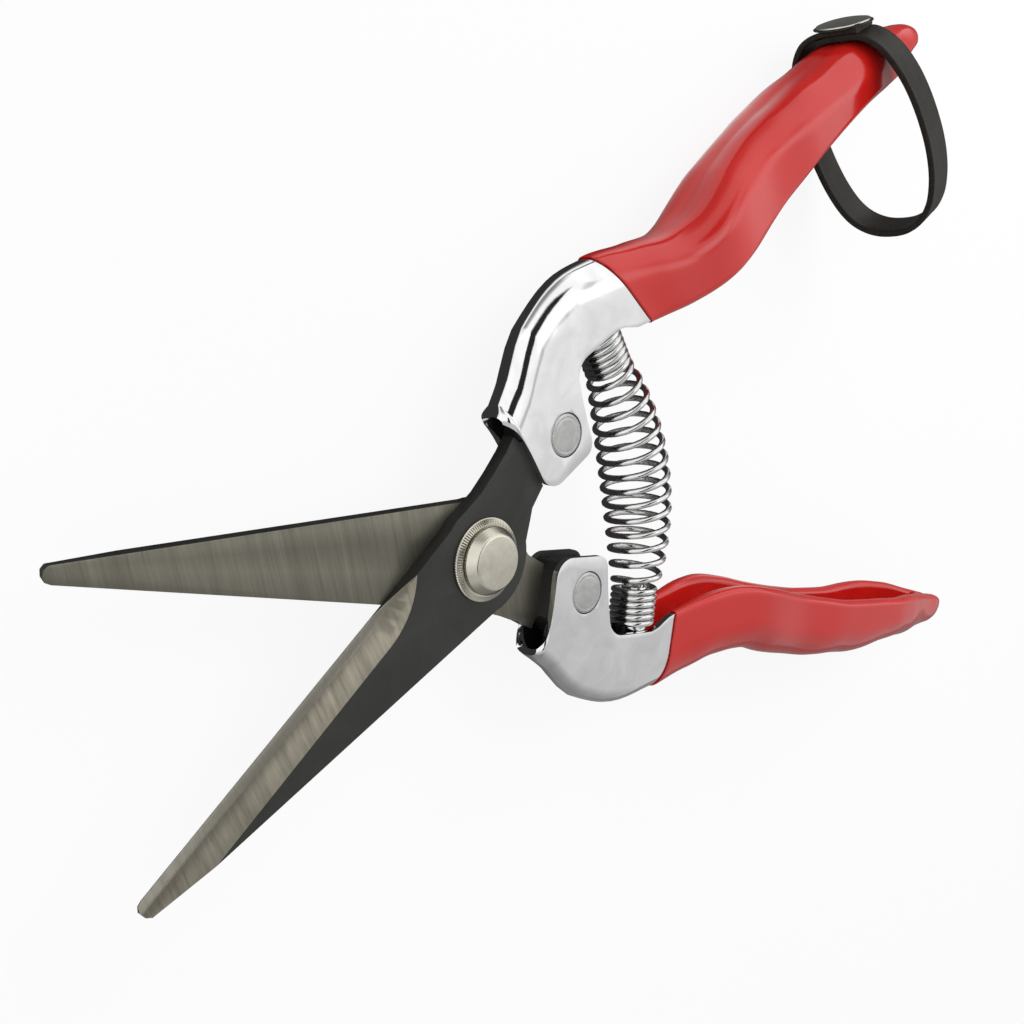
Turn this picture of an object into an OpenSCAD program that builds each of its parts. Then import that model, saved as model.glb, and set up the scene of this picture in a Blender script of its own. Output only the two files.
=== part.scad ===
// Spring-loaded pruning shears with stamped channel handles, dipped grips and a wrist strap.
// Each half is drawn closed, with its handle along +X and its blade along -X, and then swung open
// about the pivot. The lower half is the upper half turned over, as both are the same stampings.
// z = 0 is the flat end of the pivot bolt, at the back of the shears.

/* [Opening] */
// Angle between the two halves with the spring relaxed
open_angle = 38; // [20:1:44]
// Free gap between the two ground blade faces
blade_gap = 0.04; // [0.02:0.01:0.1]

/* [Blades] */
// Pivot to blade tip
blade_l = 62.8; // [45:0.1:90]
// Thickness of the blade steel
blade_t = 2.1; // [1.8:0.1:2.8]
// Width of the blunt tip
tip_w = 2.2; // [1.6:0.1:3.4]
// Radius of the round boss at the pivot
hub_r = 8; // [7.6:0.1:10]
// Rise of the cutting edge from the tip towards the pivot
edge_angle = 6.8; // [4:0.1:8]
// Pivot to the end of the cutting edge
heel_x = 15.5; // [13:0.1:20]
// Width of the ground bevel, edge to bevel line
bevel_w = 4; // [2:0.1:5]
// Height of the land left at the cutting edge
land_h = 0.08; // [0.04:0.02:0.2]
// Radius of the grinding wheel's run-out at the heel
runout_r = 12; // [8:0.5:20]

/* [Pivot] */
// Diameter of the bolt's shank
bolt_d = 6; // [5:0.1:7]
// Radial running clearance of the moving blade on the bolt
run_fit = 0.04; // [0.02:0.01:0.1]
// Diameter of the bolt's head at its foot
head_d = 9.6; // [8.6:0.1:10.4]
// Diameter of the flat on top of the head
head_top_d = 7.2; // [5:0.1:8]
// Height of the head
head_h = 1.8; // [1:0.1:3]
// Diameter of both washers
washer_d = 11.7; // [11:0.1:13]
// Thickness of both washers
washer_t = 0.8; // [0.5:0.1:1.2]
// Teeth round the front washer
washer_teeth = 40; // [24:2:48]
// Depth of the washer's teeth
tooth_h = 0.3; // [0.1:0.05:0.4]
// Nut across its flats
nut_af = 10; // [9:0.1:11]
// Height of the nut
nut_h = 2.6; // [2:0.1:4]

/* [Channel] */
// Thickness of the channel's sheet steel
wall = 1; // [0.8:0.1:1.3]
// Pivot to the blade end of the channel
mouth_x = 13.8; // [12.6:0.1:15]
// Length of the lip at the blade end of the back
lip_l = 1.6; // [1.5:0.1:4]
// Side clearance of the tang between the channel's walls
tang_fit = 0.04; // [0.02:0.01:0.1]
// Outside width of the channel at the spring
seat_w = 7.4; // [7:0.1:8]
// Outside width of the channel in the palm
palm_w = 12.6; // [11:0.1:15]
// Outside width of the channel in the waist of the grip
waist_w = 11; // [9:0.1:12]
// Largest radius of the channel's long outer corners
corner_r = 5; // [3:0.1:5.2]
// How far the rounded back reaches down the walls of the neck
neck_drop = 6; // [4:0.1:7]
// Height of the back over the centre line at its crown, when closed
crown_y = 24.3; // [22:0.1:26]
// Height of the back in the dip for the thumb
dip_y = 17.3; // [16.5:0.1:19]
// Height of the back in the palm
palm_y = 21.7; // [20.5:0.1:23]
// Pivot to the end of the handle
handle_l = 134.5; // [125:0.5:150]
// Half gap between the closed handles at the neck
neck_gap = 0.5; // [0.4:0.1:1.2]
// How far the end of the upper handle bends away from the centre line
upper_sweep = -2.4; // [-3.5:0.1:3.5]
// How far the end of the lower handle bends away from the centre line
lower_sweep = 2.5; // [-3.5:0.1:3.5]

/* [Grip] */
// Pivot to the edge of the dipped coat
coat_x = 42; // [40.5:0.5:46]
// Thickness of the dipped coat
coat_t = 0.8; // [0.5:0.1:1.2]

/* [Rivets] */
// Pivot to the blade rivet, along the handle
rivet_x = 20.7; // [19:0.1:21.6]
// Height of the blade rivet over the centre line, when closed
rivet_y = 5.8; // [5.2:0.1:7]
// Diameter of the blade rivet
rivet_d = 6.2; // [4:0.1:6.6]
// Radial clearance round fixed shanks
fix_fit = 0.02; // [0.01:0.01:0.04]

/* [Spring] */
// Pivot to the spring, along the handle
post_x = 35.5; // [35:0.1:36.6]
// Height of the spring's seat over the centre line, when closed
seat_y = 13; // [12:0.1:13.6]
// Diameter of the spring wire
wire_d = 0.95; // [0.7:0.05:1.1]
// Outer diameter of the spring's closed ends
coil_end_d = 7.3; // [6.8:0.1:7.4]
// Outer diameter of the spring's middle
coil_mid_d = 11.1; // [8:0.1:11.6]
// Closed turns at each end
closed_turns = 6; // [3:1:6]
// Open turns between the ends
open_turns = 14; // [8:1:14]
// Length of the post that stands inside the spring
post_l = 8.6; // [5:0.1:10]

/* [Strap] */
// End of the handle to the strap's rivet
strap_inset = 22; // [18:0.5:27]
// Width of the strap
strap_w = 7.8; // [6:0.1:9]
// Thickness of the strap
strap_t = 1; // [0.9:0.1:1.5]
// Width of the strap's loop, between the middles of its two sides
loop_w = 20.8; // [19:0.1:24]
// Length of the strap's loop below the back of the handle
loop_l = 35; // [32:0.5:50]
// Diameter of the strap rivet's cap
cap_d = 9.2; // [8:0.1:10]
// Height of the domed cap
cap_h = 0.8; // [0.6:0.1:2]

/* [Hidden] */

black_steel = [0.17, 0.17, 0.16];
chrome = [0.82, 0.82, 0.83];
nickel = [0.78, 0.75, 0.68];
satin_steel = [0.62, 0.62, 0.6];
dipped_red = [0.79, 0.2, 0.18];
leather = [0.09, 0.08, 0.08];

$fn = 64;
eps = 0.01;
half_open = open_angle / 2;
// Back of the front blade over the plane where the blades meet, and that plane over the bolt's flat end
face_z = blade_gap / 2;
mate_z = nut_h + washer_t + blade_t + face_z;
// Half thickness of the tang, which fills the channel
tang_z = face_z + blade_t;
neck_z = tang_z + tang_fit + wall;

// Smooth curve through control points that never swings past them
function span(p, x, i = 0) = (i >= len(p) - 2 || x <= p[i + 1].x) ? i : span(p, x, i + 1);
function secant(p, i) = (p[i + 1].y - p[i].y) / (p[i + 1].x - p[i].x);
function mean_slope(a, b) = a * b <= 0 ? 0 : 2 * a * b / (a + b);
function slope(p, i) =
    i == 0 ? secant(p, 0) : i == len(p) - 1 ? secant(p, i - 1) : mean_slope(secant(p, i - 1), secant(p, i));
function curve(p, x) =
    let (i = span(p, x), h = p[i + 1].x - p[i].x, t = (x - p[i].x) / h)
    (1 + 2 * t) * (1 - t) ^ 2 * p[i].y + t * (1 - t) ^ 2 * h * slope(p, i)
    + t ^ 2 * (3 - 2 * t) * p[i + 1].y - t ^ 2 * (1 - t) * h * slope(p, i + 1);
function arc(c, r, a, b, n = 4) = [
    for (i = [0:n]) c + r * [cos(a + (b - a) * i / n), sin(a + (b - a) * i / n)]
];

// Stations of the channel along the handle
foot_r = 2;
notch_r = 3.2;
notch_x = rivet_x + rivet_d / 2 + 2.4;
notch_end_x = post_x + coil_end_d / 2;
crown_x = mouth_x + 18;
dip_x = mouth_x + 42;
palm_x = mouth_x + 0.67 * (handle_l - mouth_x);
sweep_x = palm_x + 8;
end_y = palm_y - 8.2;
bare_end_x = handle_l - 7.5;

// Height of the channel's back, of its walls' edges, and half its width, each along the handle
lip_x = mouth_x - lip_l;
back_line = [
    [lip_x, crown_y - 9.3], [mouth_x, crown_y - 8.3], [mouth_x + 3, crown_y - 6.4],
    [mouth_x + 5.5, crown_y - 4.2], [mouth_x + 9, crown_y - 1.9], [crown_x, crown_y],
    [crown_x + 8, crown_y - 1.5], [crown_x + 16, dip_y + 2.1], [dip_x, dip_y], [dip_x + 14, dip_y + 1.7],
    [palm_x, palm_y], [handle_l - 20, palm_y - 2.3], [handle_l - 8, end_y + 2.8], [handle_l, end_y + 0.7]
];
edge_line = concat(
    [
        [lip_x, crown_y - 9.3 - 1.3 * wall], [lip_x + 0.3 * lip_l, crown_y - 11.4],
        [lip_x + 0.7 * lip_l, crown_y - 13.2], [lip_x + 0.95 * lip_l, crown_y - 15.5]
    ],
    arc([mouth_x + foot_r, neck_gap + foot_r], foot_r, 180, 270),
    arc([notch_x - foot_r, neck_gap + foot_r], foot_r, 270, 360),
    arc([notch_x + notch_r + 0.3, seat_y - notch_r], notch_r, 180, 90),
    [
        [notch_end_x - 1, seat_y], [notch_end_x + 3.4, seat_y - 2.9], [dip_x + 2, dip_y - 9.6],
        [dip_x + 14, dip_y - 8.2], [dip_x + 32, palm_y - 9.5], [palm_x, palm_y - 8.8],
        [handle_l - 18, palm_y - 9.7], [handle_l - 8, end_y - 0.4], [handle_l, end_y - 1.3]
    ]
);
half_width_line = [
    [lip_x, 0.62 * neck_z], [lip_x + 0.5 * lip_l, 0.93 * neck_z], [mouth_x, neck_z], [notch_x, neck_z], [post_x, seat_w / 2], [post_x + 9, seat_w / 2 + 0.3],
    [dip_x - 2, palm_w / 2 - 1.3], [dip_x + 8, palm_w / 2], [dip_x + 21, waist_w / 2],
    [palm_x - 6, palm_w / 2], [palm_x + 13, palm_w / 2 - 0.1], [handle_l - 20, palm_w / 2 - 0.8],
    [handle_l - 8, palm_w / 2 - 3.3], [handle_l, palm_w / 2 - 4.2]
];
function swept(x, sweep) = sweep * (max(x - sweep_x, 0) / (handle_l - sweep_x)) ^ 2;
function back_y(x, sweep = 0) = curve(back_line, x) + swept(x, sweep);
function edge_y(x, sweep = 0) = curve(edge_line, x) + swept(x, sweep);
function half_w(x) = curve(half_width_line, x);
// How far the rounded corners reach down the walls
drop_line = [[lip_x, neck_drop], [crown_x + 8, neck_drop], [dip_x, corner_r], [handle_l, corner_r]];
function corner_drop(x) = curve(drop_line, x);

// One section of the channel, round from its right edge over the back and home along the inside.
// sweep bends the handle's end, grow moves the outline out of the steel, and fill closes the
// trough up to its edges.
bend_steps = 5;
function bend(w, y, across, down) = [
    for (i = [0:bend_steps])
        let (a = 90 * i / bend_steps) [w - across * (1 - cos(a)), y - down * (1 - sin(a))]
];
function far_side(p) = [for (i = [len(p) - 1:-1:0]) [-p[i].x, p[i].y]];
function reversed(p) = [for (i = [len(p) - 1:-1:0]) p[i]];
function section(x, sweep, grow = 0, fill = 0, shrink = 1) =
    let (
        mid = (back_y(x, sweep) + edge_y(x, sweep)) / 2, rise = (back_y(x) - edge_y(x)) / 2 + grow,
        top = mid + shrink * rise, foot = mid - shrink * rise, w = shrink * (half_w(x) + grow),
        sheet = wall + 2 * grow, depth = max(top - sheet - foot, 0.2) * (1 - fill),
        wi = max(w - sheet, 0.3 * w), drop = corner_drop(x), less = wall + grow,
        outer = concat(
            [[w, foot]], bend(w, top, min(corner_r + grow, 0.92 * w), min(drop + grow, 0.7 * (top - foot)))
        ),
        inner = concat(
            [[wi, foot]],
            bend(wi, foot + depth, min(max(corner_r - less, 0.3), 0.92 * wi), min(max(drop - less, 0.3), 0.9 * depth))
        )
    )
    [for (p = concat(outer, far_side(outer), reversed(far_side(inner)), reversed(inner))) [x, p.y, p.x]];

// Faces of a skin over rings of n points, and of a cap, as a strip between a ring's two halves
function skin(rings, n, first = 0) = [
    for (i = [0:rings - 2], j = [0:n - 1]) let (a = first + i * n, k = (j + 1) % n) [a + j, a + k, a + n + k, a + n + j]
];
function cap(n, first) = [
    for (j = [0:n / 2 - 2]) [first + j, first + j + 1, first + n - 2 - j, first + n - 1 - j]
];
function inside_out(faces) = [for (f = faces) reversed(f)];
module loft(rings) {
    n = len(rings[0]);
    faces = concat(
        skin(len(rings), n), inside_out(cap(n, 0)), cap(n, n * (len(rings) - 1))
    );
    polyhedron(points = [for (r = rings) each r], faces = faces);
}
// A closed skin with a pocket that opens at its first ring
module pocketed_loft(rings, pocket) {
    n = len(rings[0]);
    start = n * len(rings);
    mouth = [for (j = [0:n - 1]) [j, start + j, start + (j + 1) % n, (j + 1) % n]];
    faces = concat(
        skin(len(rings), n), cap(n, start - n), mouth,
        inside_out(skin(len(pocket), n, start)), inside_out(cap(n, start + n * (len(pocket) - 1)))
    );
    polyhedron(points = [for (r = concat(rings, pocket)) each r], faces = faces);
}

// Places: each half swings open about the pivot, and the lower one is turned over
module lift() {
    translate([0, 0, mate_z]) children();
}
module upper_half() {
    lift() rotate(half_open) children();
}
module lower_half() {
    lift() rotate(-half_open) rotate([180, 0, 0]) children();
}
module along_y(x, y) {
    translate([x, y, 0]) rotate([-90, 0, 0]) children();
}

// Blade with its boss and tang
edge_h = (blade_l - heel_x) * tan(edge_angle);
shoulder_x = mouth_x + 0.3;
tail_x = notch_end_x - 0.4;
tail_y = seat_y + 1.4;
tang_side = 0.8;
micro_w = 1.1;
micro_z = 0.7;
// Top of the tang, where it bears on the channel's round inner corners
function tang_top(x) = back_y(x) - corner_drop(x) - tang_fit;

module blade_outline() {
    circle(hub_r, $fn = 96);
    polygon(concat(
        arc([-blade_l + tip_w / 2, -tip_w * 0.45], tip_w / 2, 90, 250),
        [[-1.2, -hub_r + 0.2], [hub_r * 0.8, 0], [0.8, hub_r - 0.05], [-heel_x, edge_h]]
    ));
    polygon([
        [0, hub_r - 0.05], [hub_r * 0.5, hub_r + 0.3], [hub_r * 0.9, hub_r + 1.1], [hub_r + 2.6, hub_r + 2.2],
        [mouth_x - 0.9, hub_r + 3.2], [mouth_x - 0.3, tang_top(mouth_x) - 0.2],
        [shoulder_x, tang_top(mouth_x) - 0.4], [shoulder_x, neck_gap + 1.2], [hub_r + 2.8, neck_gap - 0.2],
        [hub_r + 1.6, neck_gap - 1.4], [hub_r * 0.93, -hub_r * 0.37], [0, -hub_r * 0.5]
    ]);
}
module tang_outline() {
    neck_foot = neck_gap + tang_side;
    polygon(concat(
        [[shoulder_x, tang_top(mouth_x) - 0.6], [shoulder_x, neck_foot + 1.2], [shoulder_x + 1.2, neck_foot]],
        arc([notch_x - foot_r - tang_side, neck_foot + foot_r], foot_r, 270, 360),
        [[notch_x - tang_side, tail_y - 2], [notch_x + 1.2, tail_y], [tail_x, tail_y]],
        [for (x = [tail_x:-3.2:shoulder_x + 2]) [x, min(tang_top(x), tail_y + 5.6)]]
    ));
}
// The wheel's profile: land, fine bevel and main bevel, as a distance from the wheel's axis
module wheel_profile() {
    r = runout_r - bevel_w;
    polygon([
        [-eps, land_h], [r, land_h], [r + micro_w, micro_z], [r + bevel_w, blade_t],
        [r + bevel_w, blade_t + 1], [-eps, blade_t + 1]
    ]);
}
module grinding() {
    translate([-heel_x, edge_h, face_z]) rotate(180 + edge_angle) translate([4, bevel_w - runout_r, 0]) {
        rotate_extrude($fn = 128) intersection() {
            wheel_profile();
            translate([0, -1]) square([2 * runout_r, 2 * blade_t + 2]);
        }
        rotate([90, 0, 90]) linear_extrude(height = blade_l) wheel_profile();
    }
}
module blade(bore_r) {
    color(black_steel) difference() {
        union() {
            translate([0, 0, face_z]) linear_extrude(height = blade_t) blade_outline();
            translate([0, 0, -tang_z]) linear_extrude(height = 2 * tang_z) tang_outline();
        }
        translate([0, 0, -tang_z - 1]) cylinder(h = 2 * tang_z + 2, r = bore_r);
        translate([rivet_x, rivet_y, -tang_z - 1]) cylinder(h = 2 * tang_z + 2, r = rivet_d / 2 + fix_fit);
        along_y(post_x, tail_y - 1) cylinder(h = shank_l + 1 + eps, r = shank_d / 2 + fix_fit);
        grinding();
    }
}
module front_blade() {
    upper_half() blade(bolt_d / 2 + fix_fit);
}
module back_blade() {
    lower_half() blade(bolt_d / 2 + run_fit);
}

// Stamped channel, from its lip to its bare end inside the coat
channel_x = concat(
    [for (p = edge_line) if (p.x < coat_x) p.x],
    [for (i = [0:20]) coat_x + (bare_end_x - coat_x) * i / 20]
);
module channel(sweep, strap_hole = false) {
    color(chrome) difference() {
        loft([for (x = channel_x) section(x, sweep)]);
        translate([rivet_x, rivet_y, -neck_z - 1]) cylinder(h = 2 * neck_z + 2, r = rivet_d / 2 + fix_fit);
        if (strap_hole) at_strap() strap_bore();
    }
}
module upper_channel() {
    upper_half() channel(upper_sweep, strap_hole = true);
}
module lower_channel() {
    lower_half() channel(lower_sweep);
}

// Dipped coat, closed round the end of the handle
nose_l = 7;
function nose(x) = x < handle_l - nose_l ? 1 : max(sqrt(1 - ((x - handle_l + nose_l) / nose_l) ^ 2), 0.35);
coat_xs = concat(
    [for (i = [0:20]) coat_x + (bare_end_x - coat_x) * i / 20],
    [bare_end_x + coat_t + 0.4], [for (k = [0.63, 0.4, 0.2, 0.07, 0]) handle_l - k * nose_l]
);
function closing(x) = min(max((x - bare_end_x) / 5, 0), 0.85);
module coat(sweep, strap_hole = false) {
    color(dipped_red) difference() {
        pocketed_loft(
            [for (x = coat_xs) section(x, sweep, coat_t, closing(x), nose(x))],
            [for (i = [0:20]) section(coat_x + (bare_end_x + fix_fit - coat_x) * i / 20, sweep, fix_fit)]
        );
        if (strap_hole) at_strap() strap_bore();
    }
}
module upper_grip() {
    upper_half() coat(upper_sweep, strap_hole = true);
}
module lower_grip() {
    lower_half() coat(lower_sweep);
}

// Rivet through both walls and the tang, with edges just broken
module tang_rivet() {
    r = rivet_d / 2;
    h = neck_z + 0.06;
    color(satin_steel) translate([rivet_x, rivet_y, 0]) rotate_extrude() polygon([
        [0, -h], [r - 0.3, -h], [r, -h + 0.15], [r, h - 0.15], [r - 0.3, h], [0, h]
    ]);
}
module upper_tang_rivet() {
    upper_half() tang_rivet();
}
module lower_tang_rivet() {
    lower_half() tang_rivet();
}

// Stepped post, riveted into the tail of the tang, that keeps the spring on its seat
post_d = coil_end_d - 2 * wire_d - 0.3;
shank_d = 2.4;
shank_l = 3.4;
module spring_post() {
    tip_h = 2.2;
    color(satin_steel) translate([post_x, tail_y, 0]) rotate([-90, 0, 0]) rotate_extrude() polygon([
        [0, shank_l], [shank_d / 2, shank_l], [shank_d / 2, 0], [post_d / 2, 0],
        [post_d / 2, tip_h - post_l], [post_d / 2 - 0.5, tip_h - post_l - 0.2],
        [post_d / 2 - 0.5, 0.5 - post_l], [post_d / 2 - 1, -post_l], [0, -post_l]
    ]);
}
module upper_spring_post() {
    upper_half() spring_post();
}
module lower_spring_post() {
    lower_half() spring_post();
}

// Barrel spring, bowed between the two posts. Its closed ends are straight, its open turns
// follow an arc that turns through the opening angle.
closed_pitch = wire_d + 0.05;
closed_l = closed_turns * closed_pitch;
seat_gap = 0.1;
function turned(p, a) = [p.x * cos(a) - p.y * sin(a), p.x * sin(a) + p.y * cos(a)];
spring_start = turned([post_x, seat_y - seat_gap - wire_d / 2], half_open);
bow_start = spring_start + closed_l * [sin(half_open), -cos(half_open)];
bow_r = bow_start.y / sin(half_open);
bow_x = bow_start.x - bow_r * cos(half_open);
turns = 2 * closed_turns + open_turns;
// Share of the way through the open turns, from 0 to 1
function opened(turn) = min(max((turn - closed_turns) / open_turns, 0), 1);
function axis_angle(turn) = half_open * (1 - 2 * opened(turn));
function axis_point(turn) =
    let (
        a = axis_angle(turn), past = max(turn - closed_turns - open_turns, 0), short = max(closed_turns - turn, 0),
        step = (past - short) * closed_pitch
    )
    [bow_x + bow_r * cos(a), bow_r * sin(a)] + step * [sin(a), -cos(a)];
function coil_r(turn) = (coil_end_d + (coil_mid_d - coil_end_d) * sin(180 * opened(turn)) ^ 0.8 - wire_d) / 2;
turn_steps = 10;
wire_sides = 6;
function wire_ring(turn) =
    let (c = axis_point(turn), a = axis_angle(turn), phi = 360 * turn)
    [
        for (j = [0:wire_sides - 1])
            let (
                q = 360 * j / wire_sides, out = coil_r(turn) + wire_d / 2 * cos(q), up = wire_d / 2 * sin(q),
                side = out * cos(phi)
            )
            [c.x + side * cos(a) + up * sin(a), c.y + side * sin(a) - up * cos(a), out * sin(phi)]
    ];
module spring() {
    color(satin_steel) lift() loft([for (i = [0:turns * turn_steps]) wire_ring(i / turn_steps)]);
}

// Pivot: the bolt's head and toothed washer at the front, plain washer and nut at the back
module pivot_bolt() {
    foot = mate_z + face_z + blade_t + washer_t;
    color(nickel) rotate_extrude() polygon([
        [0, 0], [bolt_d / 2 - 0.4, 0], [bolt_d / 2, 0.4], [bolt_d / 2, foot], [head_d / 2, foot],
        [head_d / 2, foot + 0.3], [head_top_d / 2 + 0.15, foot + head_h - 0.12], [head_top_d / 2 - 0.2, foot + head_h],
        [0, foot + head_h]
    ]);
}
module plain_washer(z) {
    color(nickel) translate([0, 0, z]) difference() {
        cylinder(h = washer_t, r = washer_d / 2);
        translate([0, 0, -1]) cylinder(h = washer_t + 2, r = bolt_d / 2 + fix_fit);
    }
}
module toothed_washer() {
    inner = head_d / 2 + 0.15;
    color(nickel) translate([0, 0, mate_z + face_z + blade_t]) difference() {
        rotate_extrude() polygon([
            [bolt_d / 2 + fix_fit, 0], [washer_d / 2, 0], [washer_d / 2, washer_t * 0.45],
            [inner, washer_t], [bolt_d / 2 + fix_fit, washer_t]
        ]);
        for (i = [0:washer_teeth - 1]) rotate(360 * i / washer_teeth)
            translate([inner, 0, washer_t + eps]) rotate([0, 28, 0]) rotate([90, 0, 90])
                linear_extrude(height = washer_d) polygon([[-tooth_h, eps], [tooth_h, eps], [0, -tooth_h]]);
    }
}
module back_washer() {
    plain_washer(nut_h);
}
module pivot_nut() {
    color(nickel) difference() {
        intersection() {
            cylinder(h = nut_h, d = nut_af / cos(30), $fn = 6);
            cylinder(h = nut_h, r1 = nut_af / 2 - 0.1, r2 = nut_af / 2 + 1.4);
        }
        translate([0, 0, -1]) cylinder(h = nut_h + 2, r = bolt_d / 2 + fix_fit);
    }
}

// Strap, riveted through the back of the upper handle. Locally X runs along the handle and
// Y points out of its back.
strap_x = handle_l - strap_inset;
strap_y = back_y(strap_x, upper_sweep) + coat_t;
strap_slope = atan((back_y(strap_x + 4, upper_sweep) - back_y(strap_x - 4, upper_sweep)) / 8);
strap_gap = 0.2;
strap_play = 1.5;
strap_rivet_d = 3.2;
strap_top = strap_gap + 2 * strap_t;
strap_washer_t = 0.2;
lap_w = cap_d;
burr_t = 0.7;
burr_r = strap_rivet_d / 2 + 1.2;
// The burr lies against the coat's lining, which is round at its corners and curved along the handle
lining_w = half_w(strap_x + burr_r) - wall - coat_t;
lining_r = min(corner_r - wall - coat_t, 0.92 * lining_w);
burr_over = max(burr_r - lining_w + lining_r, 0);
lining_drop = lining_r - sqrt(max(lining_r ^ 2 - burr_over ^ 2, 0));
function lining_y(x) =
    (back_y(x, upper_sweep) - strap_y - wall - coat_t) * cos(strap_slope) - (x - strap_x) * sin(strap_slope);
burr_y = min(lining_y(strap_x - burr_r), lining_y(strap_x + burr_r)) - lining_drop;
// Middle of the strap where it arches over the back of the grip: half its width, and its corners
arch_w = half_w(strap_x - strap_w / 2) + coat_t + strap_gap + strap_play + strap_t / 2;
arch_r = min(corner_r + coat_t, 0.7 * arch_w) + strap_gap + strap_t / 2;
// Below the arch the loop hangs askew: its back side follows the handle, its front side swings
// clear of it. Across and down, as shares of the loop's width and length.
loop_shape = [
    [0.56, -0.3], [0.64, -0.5], [0.66, -0.68], [0.6, -0.86], [0.44, -0.95], [0.2, -0.98], [-0.05, -0.92],
    [-0.22, -0.8], [-0.34, -0.65], [-0.4, -0.46], [-0.43, -0.28]
];
loop_knots = concat(
    arc([arch_w - arch_r, -arch_r], arch_r, 90, 0), [for (p = loop_shape) [p.x * loop_w, p.y * loop_l]],
    arc([arch_r - arch_w, -arch_r], arch_r, 180, 90)
);
loop_steps = 3;
function on_loop(i) = loop_knots[min(max(i, 0), len(loop_knots) - 1)];
function loop_mix(a, b, c, d, t) =
    0.5 * (2 * b + (c - a) * t + (2 * a - 5 * b + 4 * c - d) * t ^ 2 + (3 * b - a - 3 * c + d) * t ^ 3);
loop_line = concat(
    [
        for (i = [0:len(loop_knots) - 2], k = [0:loop_steps - 1])
            loop_mix(on_loop(i - 1), on_loop(i), on_loop(i + 1), on_loop(i + 2), k / loop_steps)
    ],
    [on_loop(len(loop_knots) - 1)]
);
// The loop's outline, moved in or out by d
function loop_edge(d) = [
    for (i = [0:len(loop_line) - 1])
        let (
            n = len(loop_line), v = loop_line[(i + 1) % n] - loop_line[(i + n - 1) % n],
            u = v / norm(v)
        )
        loop_line[i] + d * [-u.y, u.x]
];
module at_strap() {
    translate([strap_x, strap_y, 0]) rotate(strap_slope) children();
}
module strap_bore(fit = fix_fit) {
    along_y(0, 2 * burr_y) cylinder(h = 2 * (strap_top - burr_y), r = strap_rivet_d / 2 + fit);
}
module strap() {
    color(leather) upper_half() at_strap() translate([0, strap_gap + strap_t / 2, 0]) difference() {
        translate([strap_w / 2, 0, 0]) rotate([0, -90, 0]) linear_extrude(height = strap_w) {
            difference() {
                polygon(loop_edge(strap_t / 2));
                polygon(loop_edge(-strap_t / 2));
            }
            intersection() {
                difference() {
                    polygon(loop_edge(1.5 * strap_t));
                    polygon(loop_edge(0));
                }
                translate([-lap_w / 2, -arch_r]) square([lap_w, 2 * arch_r]);
            }
        }
        strap_bore(0.15);
    }
}
module strap_rivet() {
    foot_y = burr_y - burr_t - 0.4;
    color(satin_steel) upper_half() at_strap() along_y(0, foot_y)
        cylinder(h = strap_top + strap_washer_t + cap_h / 2 - foot_y, r = strap_rivet_d / 2);
}
module strap_rivet_cap() {
    rim = cap_h * 0.35;
    dome_r = ((cap_d / 2) ^ 2 + (cap_h - rim) ^ 2) / (2 * (cap_h - rim));
    dome_a = asin(cap_d / 2 / dome_r);
    color(nickel) upper_half() at_strap() along_y(0, strap_top + strap_washer_t) difference() {
        rotate_extrude() polygon(concat(
            [[0, 0], [cap_d / 2, 0]], arc([0, cap_h - dome_r], dome_r, 90 - dome_a, 90, 8)
        ));
        translate([0, 0, -1]) cylinder(h = 1 + cap_h / 2, r = strap_rivet_d / 2 + fix_fit);
    }
}
module strap_washer() {
    color(black_steel) upper_half() at_strap() along_y(0, strap_top) difference() {
        cylinder(h = strap_washer_t, r = cap_d / 2 + 0.4);
        translate([0, 0, -1]) cylinder(h = strap_washer_t + 2, r = strap_rivet_d / 2 + fix_fit);
    }
}
module strap_rivet_burr() {
    color(satin_steel) upper_half() at_strap() along_y(0, burr_y - burr_t) difference() {
        cylinder(h = burr_t, r = burr_r);
        translate([0, 0, -1]) cylinder(h = burr_t + 2, r = strap_rivet_d / 2 + fix_fit);
    }
}

front_blade();
back_blade();
upper_channel();
lower_channel();
upper_grip();
lower_grip();
upper_tang_rivet();
lower_tang_rivet();
upper_spring_post();
lower_spring_post();
spring();
pivot_bolt();
toothed_washer();
back_washer();
pivot_nut();
strap();
strap_rivet();
strap_rivet_cap();
strap_washer();
strap_rivet_burr();
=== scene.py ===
import math

import bpy
from mathutils import Matrix, Vector, noise


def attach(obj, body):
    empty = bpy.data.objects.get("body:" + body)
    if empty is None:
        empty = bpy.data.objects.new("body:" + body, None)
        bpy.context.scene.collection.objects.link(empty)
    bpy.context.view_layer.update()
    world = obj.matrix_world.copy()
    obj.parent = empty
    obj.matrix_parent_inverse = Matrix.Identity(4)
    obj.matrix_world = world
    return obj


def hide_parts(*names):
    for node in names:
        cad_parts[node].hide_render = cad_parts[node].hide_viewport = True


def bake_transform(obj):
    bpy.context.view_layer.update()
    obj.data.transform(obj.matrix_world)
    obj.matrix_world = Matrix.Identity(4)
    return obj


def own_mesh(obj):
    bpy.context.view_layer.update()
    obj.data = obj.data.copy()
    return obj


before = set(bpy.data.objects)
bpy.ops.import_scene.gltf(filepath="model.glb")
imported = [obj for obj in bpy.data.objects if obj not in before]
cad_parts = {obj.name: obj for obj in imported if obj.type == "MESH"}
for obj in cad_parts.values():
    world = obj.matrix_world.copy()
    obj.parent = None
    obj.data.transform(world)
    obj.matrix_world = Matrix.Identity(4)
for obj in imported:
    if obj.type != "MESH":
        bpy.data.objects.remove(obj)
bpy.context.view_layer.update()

# Spring-loaded pruning shears. Sizes below are in millimetres along the closed handle: x runs
# from the pivot to the handle's end, y out of its back and z across it. Every finished mesh is
# in metres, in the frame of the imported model.

mm = 0.001


# places

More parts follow.
